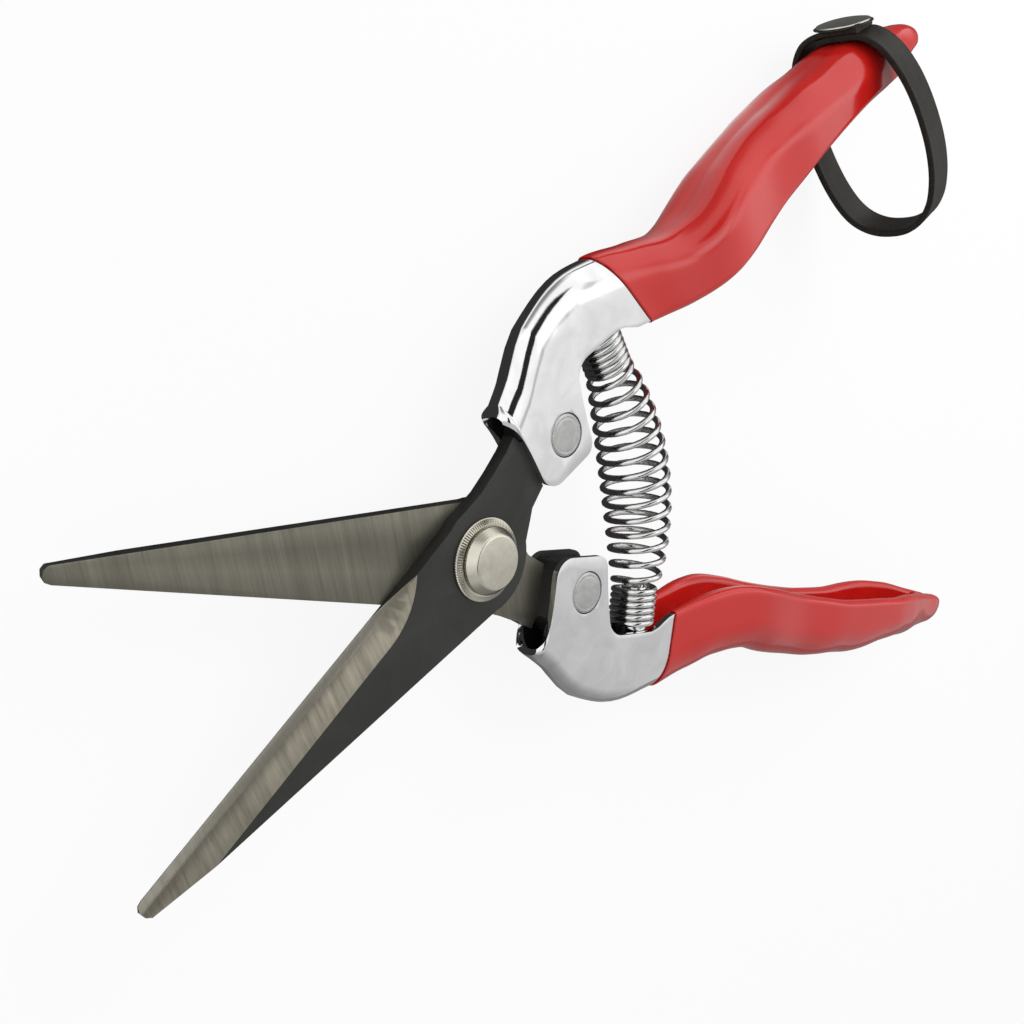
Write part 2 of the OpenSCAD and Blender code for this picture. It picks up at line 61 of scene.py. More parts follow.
pivot = {
    "mateHeight": 5.52,  # plane where the two blades meet, over the bolt's flat end
    "halfOpen": 19,  # degrees that each half is swung from closed
}
raised = Matrix.Translation((0, 0, pivot["mateHeight"]))
turnedOver = Matrix.Rotation(math.radians(-pivot["halfOpen"]), 4, "Z") @ Matrix.Rotation(math.pi, 4, "X")
places = {
    "upper": raised @ Matrix.Rotation(math.radians(pivot["halfOpen"]), 4, "Z"),
    "lower": raised @ turnedOver,
    "pivot": Matrix.Identity(4),
}


def toFrame(obj, place):
    # puts a mesh drawn in millimetres where it belongs, in metres, and leaves the object at the origin
    obj.data.transform(Matrix.Scale(mm, 4) @ place)
    obj.data.update()


def curveThrough(points):
    # a smooth line through control points that never swings past them
    xs = [p[0] for p in points]
    ys = [p[1] for p in points]
    steps = [(ys[i + 1] - ys[i]) / (xs[i + 1] - xs[i]) for i in range(len(xs) - 1)]
    slopes = [steps[0]]
    for a, b in zip(steps, steps[1:]):
        slopes.append(0 if a * b <= 0 else 2 * a * b / (a + b))
    slopes.append(steps[-1])

    def at(x):
        i = 0
        while i < len(xs) - 2 and x > xs[i + 1]:
            i += 1
        h = xs[i + 1] - xs[i]
        t = (x - xs[i]) / h
        return (
            (1 + 2 * t) * (1 - t) ** 2 * ys[i] + t * (1 - t) ** 2 * h * slopes[i]
            + t * t * (3 - 2 * t) * ys[i + 1] - t * t * (1 - t) * h * slopes[i + 1]
        )

    return at


def arcPoints(cx, cy, r, start, end, n):
    return [
        (cx + r * math.cos(math.radians(start + (end - start) * i / n)),
         cy + r * math.sin(math.radians(start + (end - start) * i / n)))
        for i in range(n + 1)
    ]


def smooth(t):
    t = min(max(t, 0), 1)
    return t * t * (3 - 2 * t)


# ways of working

# Points nearer than the gaps become one, and a copied node's faces that are flat within
# so many degrees are joined.
cleaning = {"sheetGap": 0.001, "seamGap": 0.0005, "nodeGap": 0.000002, "nodeFlat": 0.6}


def clearSelection():
    if bpy.context.object and bpy.context.object.mode != "OBJECT":
        bpy.ops.object.mode_set(mode="OBJECT")
    bpy.ops.object.select_all(action="DESELECT")


def pick(obj):
    clearSelection()
    obj.select_set(True)
    bpy.context.view_layer.objects.active = obj


def named(name):
    obj = bpy.context.object
    obj.name = name
    obj.data.name = name
    return obj


def gridPiece(name, columns, rows, place):
    # a flat grid whose points are then laid on the piece's surface, at shares across and along
    clearSelection()
    bpy.ops.mesh.primitive_grid_add(x_subdivisions=columns, y_subdivisions=rows, size=1)
    obj = named(name)
    for v in obj.data.vertices:
        v.co = place(v.co.x + 0.5, v.co.y + 0.5)
    obj.data.update()
    return obj


def tidyFaces(obj):
    pick(obj)
    bpy.ops.object.mode_set(mode="EDIT")
    bpy.ops.mesh.select_all(action="SELECT")
    bpy.ops.mesh.remove_doubles(threshold=cleaning["sheetGap"])
    bpy.ops.mesh.normals_make_consistent(inside=False)
    bpy.ops.object.mode_set(mode="OBJECT")


def closeEnds(obj, manyFaces=False):
    # the seam of a tube laid from a grid is merged, and its two open ends are filled
    pick(obj)
    bpy.ops.object.mode_set(mode="EDIT")
    bpy.ops.mesh.select_all(action="SELECT")
    bpy.ops.mesh.remove_doubles(threshold=cleaning["seamGap"])
    bpy.ops.mesh.select_all(action="DESELECT")
    bpy.ops.mesh.select_non_manifold(
        extend=False, use_wire=False, use_boundary=True, use_multi_face=False, use_non_contiguous=False,
        use_verts=False,
    )
    if manyFaces:
        bpy.ops.mesh.fill()
    else:
        bpy.ops.mesh.edge_face_add()
    bpy.ops.mesh.select_all(action="SELECT")
    bpy.ops.mesh.normals_make_consistent(inside=False)
    bpy.ops.object.mode_set(mode="OBJECT")


def tubePiece(name, rings, manyFaces=False):
    rows, sides = len(rings) - 1, len(rings[0])

    def onTube(u, v):
        return rings[round(v * rows)][round(u * sides) % sides]

    obj = gridPiece(name, sides, rows, onTube)
    closeEnds(obj, manyFaces)
    return obj


def addModifier(obj, kind, **settings):
    modifier = obj.modifiers.new(kind.title(), kind)
    for key, value in settings.items():
        setattr(modifier, key, value)
    return modifier


def applyAll(obj):
    pick(obj)
    for modifier in list(obj.modifiers):
        bpy.ops.object.modifier_apply(modifier=modifier.name)


def roundEdges(obj, width, segments, degrees, **settings):
    addModifier(
        obj, "BEVEL", width=width, segments=segments, limit_method="ANGLE", angle_limit=math.radians(degrees),
        use_clamp_overlap=True, **settings,
    )
    applyAll(obj)


def shade(obj, degrees=35):
    pick(obj)
    bpy.ops.object.shade_smooth_by_angle(angle=math.radians(degrees))


def turnedPiece(name, profile, steps=96):
    # one point drawn out along a profile of radius and height, then spun about Z
    clearSelection()
    bpy.ops.mesh.primitive_plane_add(size=0.01)
    obj = named(name)
    bpy.ops.object.mode_set(mode="EDIT")
    bpy.ops.mesh.merge(type="CENTER")
    bpy.ops.transform.translate(value=(profile[0][0], 0, profile[0][1]))
    for a, b in zip(profile, profile[1:]):
        bpy.ops.mesh.extrude_region_move(TRANSFORM_OT_translate={"value": (b[0] - a[0], 0, b[1] - a[1])})
    bpy.ops.mesh.select_all(action="SELECT")
    bpy.ops.mesh.spin(steps=steps, angle=2 * math.pi, center=(0, 0, 0), axis=(0, 0, 1))
    bpy.ops.object.mode_set(mode="OBJECT")
    tidyFaces(obj)
    return obj


def turnedAt(place, name, profile, steps=96, degrees=40):
    obj = turnedPiece(name, profile, steps)
    toFrame(obj, place)
    shade(obj, degrees)
    return obj


def copyOfNode(name, nodeName):
    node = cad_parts[nodeName]
    clearSelection()
    obj = bpy.data.objects.new(name, node.data.copy())
    obj.data.name = name
    obj.data.materials.clear()
    bpy.context.scene.collection.objects.link(obj)
    pick(obj)
    bpy.ops.object.mode_set(mode="EDIT")
    bpy.ops.mesh.select_all(action="SELECT")
    bpy.ops.mesh.remove_doubles(threshold=cleaning["nodeGap"])
    bpy.ops.mesh.dissolve_limited(angle_limit=math.radians(cleaning["nodeFlat"]))
    bpy.ops.object.mode_set(mode="OBJECT")
    if obj.data.has_custom_normals:
        bpy.ops.mesh.customdata_custom_splitnormals_clear()
    return obj


def finished(obj, finish, body, slotName, *nodes):
    if finish is not None:
        obj.data.materials.clear()
        obj.data.materials.append(finish)
    if body:
        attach(obj, body)
    if nodes:
        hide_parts(*nodes)
    return obj


# finishes

def newFinish(name):
    finish = bpy.data.materials.new(name)
    finish.use_nodes = True
    tree = finish.node_tree
    return finish, tree, tree.nodes["Principled BSDF"]


def setSockets(node, numbers):
    for socket, number in numbers.items():
        node.inputs[socket].default_value = number


def place3d(tree, turn=(0, 0, 0), stretch=(1, 1, 1)):
    where = tree.nodes.new("ShaderNodeTexCoord")
    mapping = tree.nodes.new("ShaderNodeMapping")
    setSockets(mapping, {"Rotation": [math.radians(a) for a in turn], "Scale": stretch})
    tree.links.new(where.outputs["Object"], mapping.inputs["Vector"])
    return mapping.outputs["Vector"]


def grainOf(tree, vector, scale, detail=4, rough=0.5, warp=0):
    grain = tree.nodes.new("ShaderNodeTexNoise")
    setSockets(grain, {"Scale": scale, "Detail": detail, "Roughness": rough, "Distortion": warp})
    tree.links.new(vector, grain.inputs["Vector"])
    return grain.outputs["Fac"]


def rampOf(tree, value, *stops):
    ramp = tree.nodes.new("ShaderNodeValToRGB")
    elements = ramp.color_ramp.elements
    for i in (0, -1):
        elements[i].position = stops[i][0]
        elements[i].color = (*stops[i][1], 1)
    for position, colour in stops[1:-1]:
        elements.new(position).color = (*colour, 1)
    tree.links.new(value, ramp.inputs["Fac"])
    return ramp.outputs["Color"]


def rangeOf(tree, value, low, high, span=(0.3, 0.7), kind="LINEAR"):
    spread = tree.nodes.new("ShaderNodeMapRange")
    spread.interpolation_type = kind
    setSockets(spread, {"From Min": span[0], "From Max": span[1], "To Min": low, "To Max": high})
    tree.links.new(value, spread.inputs["Value"])
    return spread.outputs["Result"]


def easedOf(tree, value, low, high, span):
    return rangeOf(tree, value, low, high, span, "SMOOTHSTEP")


def feed(tree, value, socket):
    # a number is set on the socket itself, and anything else is linked to it
    if isinstance(value, (int, float)):
        socket.default_value = value
    else:
        tree.links.new(value, socket)


def mathOf(tree, kind, *values):
    node = tree.nodes.new("ShaderNodeMath")
    node.operation = kind
    for value, socket in zip(values, node.inputs):
        feed(tree, value, socket)
    return node.outputs[0]


def mixOf(tree, share, a, b):
    node = tree.nodes.new("ShaderNodeMix")
    node.data_type = "FLOAT"
    for value, socket in ((share, "Factor"), (a, "A"), (b, "B")):
        feed(tree, value, node.inputs[socket])
    return node.outputs["Result"]


def layBumps(tree, *bumps):
    # from coarse to fine, each on top of the one before
    under = None
    for height, strength, distance in bumps:
        bump = tree.nodes.new("ShaderNodeBump")
        setSockets(bump, {"Strength": strength, "Distance": distance})
        tree.links.new(height, bump.inputs["Height"])
        if under is not None:
            tree.links.new(under, bump.inputs["Normal"])
        under = bump.outputs["Normal"]
    tree.links.new(under, tree.nodes["Principled BSDF"].inputs["Normal"])


def cloudedFinish(name, grain, dark, light, rough, sockets, bumps=(), span=0.3, haze=None):
    # the tint follows one slow grain, and the roughness the same one or a haze of its own
    finish, tree, shader = newFinish(name)
    where = place3d(tree)
    cloud = grainOf(tree, where, *grain)
    tree.links.new(rampOf(tree, cloud, (span, dark), (1 - span, light)), shader.inputs["Base Color"])
    dulled = grainOf(tree, where, *haze) if haze else cloud
    tree.links.new(rangeOf(tree, dulled, *rough), shader.inputs["Roughness"])
    setSockets(shader, sockets)
    if bumps:
        layBumps(tree, *[(grainOf(tree, where, *fine), *depth) for fine, *depth in bumps])
    return finish


def groundSteel(name, turn, dark, light, lines, rough=0.34):
    # ground face: cross lines left by the wheel, turned to run square to the edge
    finish, tree, shader = newFinish(name)
    fine = grainOf(tree, place3d(tree, (0, 0, turn), (1, 0.03, 0.2)), lines, 5, 0.7, 0.1)
    broad = grainOf(tree, place3d(tree, (0, 0, turn), (1, 0.12, 0.3)), lines * 0.16, 4, 0.6, 0.6)
    mixed = mixOf(tree, 0.45, fine, broad)
    tree.links.new(rampOf(tree, mixed, (0.36, dark), (0.64, light)), shader.inputs["Base Color"])
    shader.inputs["Metallic"].default_value = 0.85
    tree.links.new(rangeOf(tree, mixed, rough + 0.1, rough - 0.06), shader.inputs["Roughness"])
    layBumps(tree, (fine, 0.35, 0.00004))
    return finish


def warmNickel(name="warmNickel", rough=0.24, dark=(0.57, 0.54, 0.45), light=(0.72, 0.69, 0.59)):
    spread = (rough - 0.05, rough + 0.07)
    finish = cloudedFinish(name, (300, 4, 0.6, 0.5), dark, light, spread, {"Metallic": 1})
    tree = finish.node_tree
    where = place3d(tree)
    rings = tree.nodes.new("ShaderNodeTexWave")  # left by the lathe, about the pivot
    rings.wave_type = "RINGS"
    rings.rings_direction = "Z"
    setSockets(rings, {"Scale": 1300, "Distortion": 1.5, "Detail": 3})
    tree.links.new(where, rings.inputs["Vector"])
    fine = grainOf(tree, where, 2400, 3, 0.6)
    layBumps(tree, (rings.outputs["Fac"], 0.1, 0.00003), (fine, 0.15, 0.00003))
    return finish


def oiledLeather():
    finish = cloudedFinish(
        "oiledLeather", (190, 5, 0.6, 0.6), (0.009, 0.0082, 0.0068), (0.025, 0.0215, 0.017), (0.3, 0.42),
        {"Specular IOR Level": 0.16},
    )
    tree = finish.node_tree
    where = place3d(tree)
    cells = tree.nodes.new("ShaderNodeTexVoronoi")
    cells.feature = "DISTANCE_TO_EDGE"
    cells.inputs["Scale"].default_value = 2100
    tree.links.new(where, cells.inputs["Vector"])
    pores = grainOf(tree, where, 900, 4, 0.6)
    layBumps(tree, (cells.outputs["Distance"], 0.3, 0.00012), (pores, 0.2, 0.0001))
    return finish


def cutLeatherEdge():
    finish, tree, shader = newFinish("cutLeatherEdge")
    fibres = grainOf(tree, place3d(tree), 1500, 4, 0.7)
    tint = rampOf(tree, fibres, (0.3, (0.012, 0.011, 0.009)), (0.7, (0.026, 0.022, 0.018)))
    tree.links.new(tint, shader.inputs["Base Color"])
    setSockets(shader, {"Roughness": 0.55, "Specular IOR Level": 0.15})
    layBumps(tree, (fibres, 0.4, 0.0001))
    return finish


def blackedWasher(name="blackedWasher", dark=(0.016, 0.016, 0.015), light=(0.04, 0.038, 0.035)):
    return cloudedFinish(name, (500, 3, 0.6), dark, light, (0.3, 0.45), {"Metallic": 0.5})


blackened = cloudedFinish(
    "blackenedSteel", (160, 5, 0.6, 0.4), (0.023, 0.023, 0.0215), (0.036, 0.0355, 0.033), (0.4, 0.52),
    {"Metallic": 0.35}, [((5200, 2, 0.6), 0.18, 0.00003)],
)
wornEdge = groundSteel("wornEdge", 0, (0.1, 0.1, 0.095), (0.22, 0.21, 0.19), 900, 0.36)
chrome = cloudedFinish(
    "brightChrome", (210, 3, 0.5, 0.8), (0.79, 0.79, 0.8), (0.9, 0.9, 0.91), (0.04, 0.1), {"Metallic": 1},
    [((130, 2, 0.4, 0.3), 0.35, 0.00018), ((1500, 3, 0.6), 0.12, 0.00003)], 0.35, (420, 5, 0.65, 0.5),
)
vinyl = cloudedFinish(
    "dippedVinyl", (60, 4, 0.5, 0.4), (0.49, 0.010, 0.008), (0.555, 0.014, 0.010), (0.12, 0.19),
    {"IOR": 1.53, "Specular IOR Level": 0.46, "Coat Weight": 0.2, "Coat Roughness": 0.04},
    [((90, 2, 0.4), 0.35, 0.0002), ((1400, 3, 0.6), 0.08, 0.00005)], haze=(260, 4, 0.6, 0.2),
)
satin = cloudedFinish(
    "satinSteel", (380, 5, 0.65, 1.2), (0.46, 0.46, 0.45), (0.64, 0.64, 0.62), (0.34, 0.46), {"Metallic": 1},
    [((2600, 3, 0.6), 0.25, 0.00004)],
)
drawnWire = cloudedFinish(
    "springSteel", (700, 4, 0.6, 0.3), (0.6, 0.6, 0.6), (0.82, 0.82, 0.81), (0.08, 0.18), {"Metallic": 1},
    [((3400, 2, 0.5), 0.15, 0.00003)],
)
nickel = warmNickel()
leather = oiledLeather()
leatherEdge = cutLeatherEdge()
washerBlack = blackedWasher()
# near-black finish for the inside faces of the chrome troughs: painted shade standing in for the shade inside
# the channel, not a colour of the steel
paintedShadeInside = blackedWasher("paintedShadeInside", (0.006, 0.006, 0.006), (0.02, 0.02, 0.019))
capMetal = warmNickel("capNickel", 0.1, (0.58, 0.58, 0.5), (0.7, 0.7, 0.61))
print("finishes made")


# blades

blades = {
    "edgeAngle": 6.8,
    "breakEdge": 0.00011,  # how far the steel's sharp corners are broken
    "matingFace": (-0.5, 0.1),  # heights between which a flat face is the one that meets the other blade
    "honeTop": 0.7,  # the ground slope below this height is the hone
    "slope": (0.3, 0.99),  # how much a ground slope faces up, at least and at most
    "groundUntil": 10,
}


def makeBlade(name, nodeName, place, turn):
    blade = copyOfNode(name, nodeName)
    ground = groundSteel(name + "Bevel", turn, (0.2, 0.184, 0.144), (0.375, 0.347, 0.277), 1500)
    hone = groundSteel(name + "Hone", turn, (0.3, 0.285, 0.235), (0.42, 0.4, 0.34), 1900, 0.3)
    mating = groundSteel(name + "Mating", turn, (0.15, 0.143, 0.113), (0.22, 0.21, 0.17), 2300, 0.4)
    finishes = [blackened, ground, hone, mating, wornEdge]
    for finish in finishes:
        blade.data.materials.append(finish)
    inverse = place.inverted()
    turnBack = inverse.to_3x3()
    lowest, highest = blades["matingFace"]
    gentle, flat = blades["slope"]
    for face in blade.data.polygons:
        n = turnBack @ face.normal
        c = inverse @ (face.center / mm)
        if n.z < -flat and lowest < c.z < highest:
            finish = mating
        elif gentle < n.z < flat and c.x < blades["groundUntil"]:
            finish = hone if c.z < blades["honeTop"] else ground
        else:
            finish = blackened
        face.material_index = finishes.index(finish)
    roundEdges(blade, blades["breakEdge"], 2, 38, material=finishes.index(wornEdge), harden_normals=False)
    shade(blade, 30)
    return blade


for side, end, way in (("upper", "front", -1), ("lower", "back", 1)):
    turn = way * (pivot["halfOpen"] + blades["edgeAngle"])
    blade = makeBlade(end + "Blade", end + "_blade", places[side], turn)
    finished(blade, None, side, "blackened_steel", end + "_blade")
print("blades ground")


# stamped channels

handle = {
    "mouth": 13.8,
    "lip": 1.6,
    "rivet": (20.7, 5.8, 3.1),  # x, y and radius
    "crown": (31.8, 24.3),
    "dip": (55.8, 17.3),
    "palm": (94.67, 21.7),
    "end": 134.5,
    "bareEnd": 127.0,
    "coat": 0.8,
    "wall": 1.0,
    "corner": 5.0,
    "widest": 0.92,  # how far a corner reaches across at most, as a share of half the width
    "tallest": 0.7,  # and how far down, as a share of the wall
    "neckDrop": 6.0,  # how far the rounded back reaches down the walls of the neck
    "sweepStart": 102.67,
    "rivetGap": 0.13,
    "edgeRound": 0.22,
    "riseBefore": 12,  # how far before the bare end the tip starts to rise
    "lowWall": (100, 110, 118, 130),  # where a low wall sinks, and where it comes back
}
# What sets the two handles apart: how far each sweeps at its end, how its back swells and the
# whole of it sways along the grip, where its coat starts and runs on down the walls, and how its
# tip and near wall sit.
upperShape = {
    "sweep": -2.4,
    "swell": [(10, 0), (59, 0), (62, 0.25), (66, 0.95), (70, 1.7), (75, 2.0), (81, 1.45), (88, 0.25),
              (93, -0.1), (99, -0.5), (105, -0.15), (111, 0), (140, 0)],
    "sway": [(10, 0), (48, 0), (56, -0.35), (62, -0.75), (68, -1.0), (74, -1.15), (80, -1.0), (88, -0.6),
             (95, -0.45), (103, -0.3), (110, 0), (140, 0)],
    "start": 39.4, "bow": 3.9, "tip": -2.0, "lift": 1.1, "blunt": 0.3, "skew": 0,
}
lowerShape = {
    "sweep": 2.5,
    "swell": [(10, 0), (37, 0), (44, 0.45), (50, 0.95), (55, 1.15), (59, 0.5), (63, -0.05), (68, 0.4),
              (74, 0.7), (81, 0.65), (86, 0.25), (91, -0.1), (97, 0.2), (106, 0.4), (112.5, 0.9), (121, 1.4),
              (132, 1.5), (140, 1.5)],
    "sway": [(10, 0), (44, 0), (53, -0.3), (80, -0.25), (100, -0.2), (107, -0.45), (113, -0.45),
             (119, -0.1), (127, -0.2), (140, -0.5)],
    "start": 41.2, "bow": 0.6, "tip": 0.8, "lift": 0.5, "blunt": 0.3, "skew": 0.9,
}

crownX, crownY = handle["crown"]
dipX, dipY = handle["dip"]
palmX, palmY = handle["palm"]
endX = handle["end"]
mouthX = handle["mouth"]
lipX = mouthX - handle["lip"]

backLine = curveThrough([
    (lipX, crownY - 9.3), (mouthX, crownY - 8.3), (mouthX + 3, crownY - 6.4), (mouthX + 5.5, crownY - 4.2),
    (mouthX + 9, crownY - 1.9), (crownX, crownY), (crownX + 8, crownY - 1.5), (crownX + 16, dipY + 2.1),
    (dipX, dipY), (dipX + 14, dipY + 1.7), (palmX, palmY), (endX - 20, palmY - 2.3), (endX - 8, 16.3),
    (endX, 14.2),
])
edgePoints = (
    [(lipX, 13.8), (12.6, 13.1), (13.1, 11.9), (13.5, 10.0), (13.7, 7.5), (13.78, 5.0)]  # round the mouth
    + arcPoints(16.8, 3.45, 3.0, 180, 270, 9)
    + arcPoints(22.7, 2.55, 2.1, 270, 350, 7)
    + [(25.3, 5.2), (26.0, 8.4)]
    + arcPoints(29.7, 9.8, 3.2, 172, 90, 8)
    + [(36.5, 12.9), (38.0, 12.3), (40.2, 10.9), (42.8, 10.1), (46, 9.35), (dipX + 2, 7.8), (66, 8.7),
       (73, 10.0), (83, 11.5), (palmX - 4, 12.35), (palmX + 8, 12.8), (endX - 22, 12.2), (endX - 15, 11.8),
       (endX - 8, 12.5), (endX, 12.9)]
)
edgeLine = curveThrough(edgePoints)
halfWidthLine = curveThrough([
    (lipX, 1.96), (lipX + 0.8, 2.94), (mouthX, 3.16), (26.2, 3.16), (35.5, 3.7), (44.5, 4.0), (dipX - 2, 5.0),
    (dipX + 8, 6.3), (dipX + 21, 5.5), (palmX - 6, 6.3), (palmX + 13, 6.2), (endX - 20, 5.5), (endX - 8, 3.0),
    (endX, 2.1),
])
dropLine = curveThrough([
    (lipX, handle["neckDrop"]), (crownX + 8, handle["neckDrop"]), (dipX, handle["corner"]),
    (endX, handle["corner"]),
])

for shape in (upperShape, lowerShape):
    shape["swellLine"] = curveThrough(shape["swell"])
    shape["swayLine"] = curveThrough(shape["sway"])


def sweptBy(x, shape):
    late = max(x - handle["sweepStart"], 0) / (endX - handle["sweepStart"])
    return shape["sweep"] * late ** 2 + shape["swayLine"](x)


def backAt(x, shape):
    return backLine(x) + sweptBy(x, shape) + shape["swellLine"](x)


def edgeAt(x, shape):
    return edgeLine(x) + sweptBy(x, shape)


def leaning(x, z, share, shape):
    # how far a point at a share of the way from back to foot is moved, by the raised tip and by the
    # wall of the trough that stands a little lower than the other
    rise = handle["riseBefore"]
    late = max(x - handle["bareEnd"] + rise, 0) / (endX - handle["bareEnd"] + rise)
    a, b, c, d = handle["lowWall"]
    low = shape["skew"] * smooth((x - a) / (b - a)) * (1 - smooth((x - c) / (d - c)))
    return (shape["lift"] + shape["blunt"] * (1 - share)) * late ** 2 + low * share * smooth(0.5 - z / 6)


def cornerAt(x, w, tall, grow=0):
    across = min(handle["corner"] + grow, handle["widest"] * w)
    return across, min(dropLine(x) + grow, handle["tallest"] * tall)


def halfSection(top, foot, w, across, down, wallSteps, bendSteps, topSteps):
    # from the foot of one wall, up and round the corner, to the middle of the back
    points = [(w, foot + (top - down - foot) * i / wallSteps) for i in range(wallSteps)]
    for i in range(bendSteps):
        a = math.pi / 2 * i / bendSteps
        points.append((w - across + across * math.cos(a), top - down + down * math.sin(a)))
    points += [((w - across) * (1 - i / topSteps), top) for i in range(topSteps + 1)]
    return points


def mirrored(points):
    return points + [(-z, y) for z, y in reversed(points[:-1])]


neckEnd = 41
channelStations = sorted(set(
    [round(x, 4) for x, _ in edgePoints if x < neckEnd]
    + [12.4, 12.85, 13.3, 13.62, 18, 20.5, 31.5, 33.2, 35]
    + [39.2 + 1.6 * i for i in range(55)]
))
channelStations = [x for x in channelStations if x < handle["bareEnd"]] + [handle["bareEnd"]]
sectionSteps = (8, 16, 3)  # in the wall, in the bend and in half of the back


def makeChannel(name, shape, place):
    columns = 2 * sum(sectionSteps)
    rows = len(channelStations) - 1

    def onChannel(u, v):
        x = channelStations[round(v * rows)]
        top = backAt(x, shape)
        foot = edgeAt(x, shape)
        w = halfWidthLine(x)
        reach = cornerAt(x, w, top - foot)
        z, y = mirrored(halfSection(top, foot, w, *reach, *sectionSteps))[round(u * columns)]
        return (x, y + leaning(x, z, (top - y) / (top - foot), shape), z)

    channel = gridPiece(name, columns, rows, onChannel)
    tidyFaces(channel)
    turnOutwards(channel)
    # the trough's inside faces, from the solidify's offset, take the near-black painted shade finish
    for finish in (chrome, paintedShadeInside):
        channel.data.materials.append(finish)
    addModifier(
        channel, "SOLIDIFY", thickness=handle["wall"], offset=-1, use_even_offset=True,
        use_quality_normals=True, material_offset=1, material_offset_rim=0,
    )
    applyAll(channel)
    x, y, radius = handle["rivet"]
    cutHole(channel, x, y, radius + handle["rivetGap"])
    roundEdges(channel, handle["edgeRound"], 3, 50)
    toFrame(channel, place)
    shade(channel, 40)
    return channel


def turnOutwards(channel):
    # an open sheet has no inside, so its faces are turned by hand to look away from the trough
    back = [f for f in channel.data.polygons if abs(f.center.z) < 0.5 and f.center.x > mouthX + 2]
    if sum(f.normal.y for f in back) < 0:
        pick(channel)
        bpy.ops.object.mode_set(mode="EDIT")
        bpy.ops.mesh.select_all(action="SELECT")
        bpy.ops.mesh.flip_normals()
        bpy.ops.object.mode_set(mode="OBJECT")


def cutHole(obj, x, y, r):
    clearSelection()
    bpy.ops.mesh.primitive_cylinder_add(vertices=64, radius=r, depth=20, location=(x, y, 0))
    cutter = named("cutter")
    bpy.ops.object.transform_apply(location=True, rotation=True, scale=True)
    addModifier(obj, "BOOLEAN", object=cutter, operation="DIFFERENCE", solver="EXACT")
    applyAll(obj)
    bpy.data.objects.remove(cutter)


for side, shape in (("upper", upperShape), ("lower", lowerShape)):
    channel = makeChannel(side + "Channel", shape, places[side])
    finished(channel, None, side, "bright_chrome", side + "_channel")
print("channels stamped")


# dipped grips

grip = {
    "nose": 5.6,
    "rimRound": 0.95,
    "mouthRound": 0.2,
    "mouthThin": 0.4,  # the coat's thickness at its edge, as a share of the rest
    "thickens": 9,  # length over which it reaches the rest
    "bowFades": 24,  # length over which its slanted edge straightens
    "trimBefore": 6,
    "sectionSteps": (10, 14, 4),
    "rimSteps": 6,
    "pocketClear": 0.03,
    "pocketRows": 40,
    "rows": 62,
    "tipHigh": 0.3,  # where the tip's point sits, as a share of the way from foot to back
}
# the thumb's crease along the middle of the back
crease = {"deep": 0.42, "wide": 1.9, "starts": (52, 62), "fades": (84, 108), "left": 0.1}


def noseAt(x):
    t = (x - endX + grip["nose"]) / grip["nose"]
    return 1 if t < 0 else math.sqrt(max(1 - t * t, 0))


def coatRing(x, shape, grow, fill, shrink):
    # closed ring round the coated sheet: outside, one rim, inside and the other rim
    back, edge = backAt(x, shape) + grow, edgeAt(x, shape) - grow
    top = back - (1 - shrink) * (1 - grip["tipHigh"]) * (back - edge)
    foot = edge + (1 - shrink) * grip["tipHigh"] * (back - edge)
    w = shrink * (halfWidthLine(x) + grow)
    sheet = handle["wall"] + 2 * grow
    depth = max(top - sheet - foot, 0.2) * (1 - fill)
    wi = max(w - sheet, 0.3 * w)
    less = handle["wall"] + grow
    acrossIn = min(max(handle["corner"] - less, 0.3), handle["widest"] * wi)
    downIn = min(max(dropLine(x) - less, 0.3), 0.9 * depth)
    reach = cornerAt(x, w, top - foot, grow)
    bevel = max(min(grip["rimRound"] * smooth(grow / 0.35), 0.4 * (w - wi)), 0.04)
    lift = min(bevel, 0.3 * (top - foot))
    liftIn = min(lift, 0.5 * depth)
    outer = mirrored(halfSection(top, foot + lift, w, *reach, *grip["sectionSteps"]))
    inner = mirrored(halfSection(foot + depth, foot + liftIn, wi, acrossIn, downIn, *grip["sectionSteps"]))
    rim = []
    half = (w - wi) / 2
    for i in range(1, grip["rimSteps"]):
        a = math.pi * i / grip["rimSteps"]
        high = lift if 2 * i <= grip["rimSteps"] else liftIn
        rim.append((wi + half + half * math.cos(a), foot + high * (1 - math.sin(a))))
    return outer + [(-z, y) for z, y in rim] + inner[::-1] + rim[::-1]


def creaseAt(x, z):
    (a, b), (c, d) = crease["starts"], crease["fades"]
    along = smooth((x - a) / (b - a)) * (1 - (1 - crease["left"]) * smooth((x - c) / (d - c)))
    return crease["deep"] * along * math.exp(-(abs(z) / crease["wide"]) ** 1.5)


